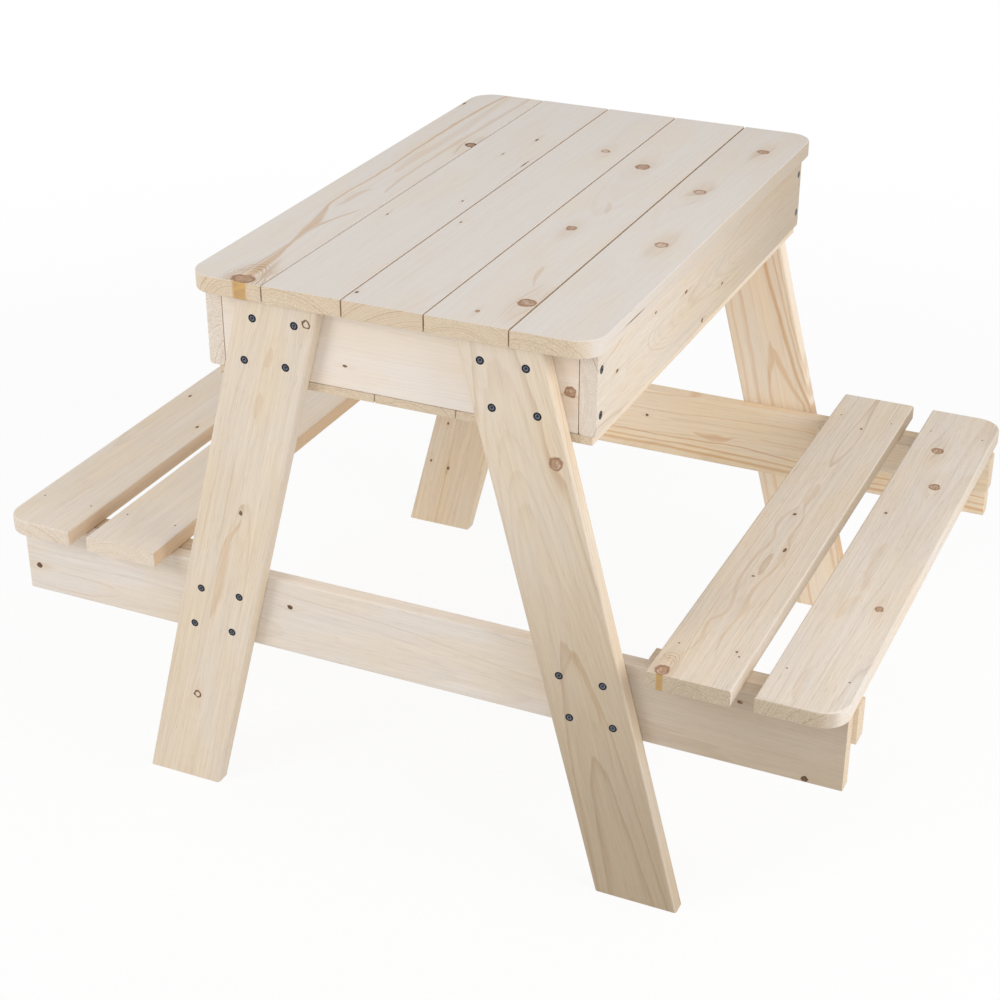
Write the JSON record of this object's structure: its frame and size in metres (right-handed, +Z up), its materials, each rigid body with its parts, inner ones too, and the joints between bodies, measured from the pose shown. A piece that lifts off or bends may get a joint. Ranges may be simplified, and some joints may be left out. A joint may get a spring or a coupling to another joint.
{
  "type": "child's picnic table with sandbox",
  "caption": "Child's wooden picnic table with leaning plank legs, two attached benches and a sandbox under a lift-off plank top.",
  "frame": {"origin": "on the floor, under the middle of the table", "axes": "+Z up; X across the two benches, +X to the right bench; Y along the table's boards"},
  "size_m": [0.99, 0.726, 0.64],
  "materials": {
    "planed_pine": "planed, unfinished softwood",
    "thin_pine": "thin planed softwood, unfinished",
    "dark_screw_steel": "blackened countersunk screws",
    "bright_nail_steel": "dull headless nails"
  },
  "bodies": {
    "frame": {"cleat_far_left": "planed_pine", "cleat_far_right": "planed_pine", "cleat_near_left": "planed_pine", "cleat_near_right": "planed_pine", "cleat_screws_far": "dark_screw_steel", "cleat_screws_near": "dark_screw_steel", "end_board_far": "planed_pine", "end_board_near": "planed_pine", "floor_board_1": "thin_pine", "floor_board_2": "thin_pine", "floor_board_3": "thin_pine", "floor_board_4": "thin_pine", "floor_board_5": "thin_pine", "floor_nails": "bright_nail_steel", "leg_far_left": "planed_pine", "leg_far_right": "planed_pine", "leg_near_left": "planed_pine", "leg_near_right": "planed_pine", "leg_rail_screws_far": "dark_screw_steel", "leg_rail_screws_near": "dark_screw_steel", "leg_top_screws_far": "dark_screw_steel", "leg_top_screws_near": "dark_screw_steel", "rail_far": "planed_pine", "rail_near": "planed_pine", "seat_board_left_inner": "planed_pine", "seat_board_left_outer": "planed_pine", "seat_board_right_inner": "planed_pine", "seat_board_right_outer": "planed_pine", "seat_brads_left": "bright_nail_steel", "seat_brads_right": "bright_nail_steel", "side_board_left": "planed_pine", "side_board_right": "planed_pine", "side_screws_left": "dark_screw_steel", "side_screws_right": "dark_screw_steel"},
    "lid": {"lid_batten_far": "planed_pine", "lid_batten_near": "planed_pine", "lid_board_1": "planed_pine", "lid_board_2": "planed_pine", "lid_board_3": "planed_pine", "lid_board_4": "planed_pine", "lid_board_5": "planed_pine", "lid_screws": "dark_screw_steel"}
  },
  "joints": [
    {"name": "lid_lift", "type": "slide", "parent": "frame", "child": "lid", "axis": [0, 0, 1], "range_m": [0, 0.3]}
  ]
}
